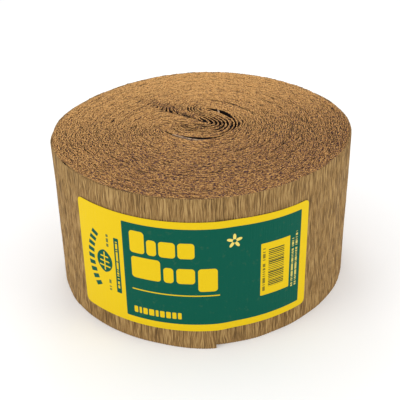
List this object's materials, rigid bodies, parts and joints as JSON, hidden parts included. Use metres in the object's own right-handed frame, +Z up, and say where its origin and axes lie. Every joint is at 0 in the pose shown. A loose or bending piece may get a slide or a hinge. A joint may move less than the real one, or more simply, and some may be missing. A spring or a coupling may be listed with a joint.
{
  "type": "tree wrap roll",
  "caption": "Coreless roll of creped kraft paper strip for wrapping young tree trunks, with a free outer end held down by a peelable printed label.",
  "frame": {"origin": "middle of the base, on the surface the roll stands on", "axes": "+Z up along the axis of the roll, -Y towards the label, +X to the right as the label is read"},
  "size_m": [0.1906, 0.1914, 0.1016],
  "materials": {
    "creped_kraft": "matte",
    "folded_kraft": "matte",
    "label_print": "satin"
  },
  "bodies": {
    "roll": {"outer_windings": "creped_kraft", "middle_windings": "creped_kraft", "folded_windings": "folded_kraft", "loose_turn": "folded_kraft", "inner_end": "folded_kraft", "last_turn": "creped_kraft"},
    "tail": {"tail_end": "creped_kraft", "label_fixed_half": "label_print"},
    "label_flap": {"label_peel_half": "label_print"}
  },
  "joints": [
    {"name": "tail_lift", "type": "hinge", "parent": "roll", "child": "tail", "pos_m": [-0.08111, -0.05087, 0.0508], "axis": [0, 0, -1], "range_deg": [0, 90]},
    {"name": "label_peel", "type": "hinge", "parent": "tail", "child": "label_flap", "pos_m": [0.00646, -0.09521, 0.05], "axis": [0, 0, -1], "range_deg": [0, 110]}
  ]
}
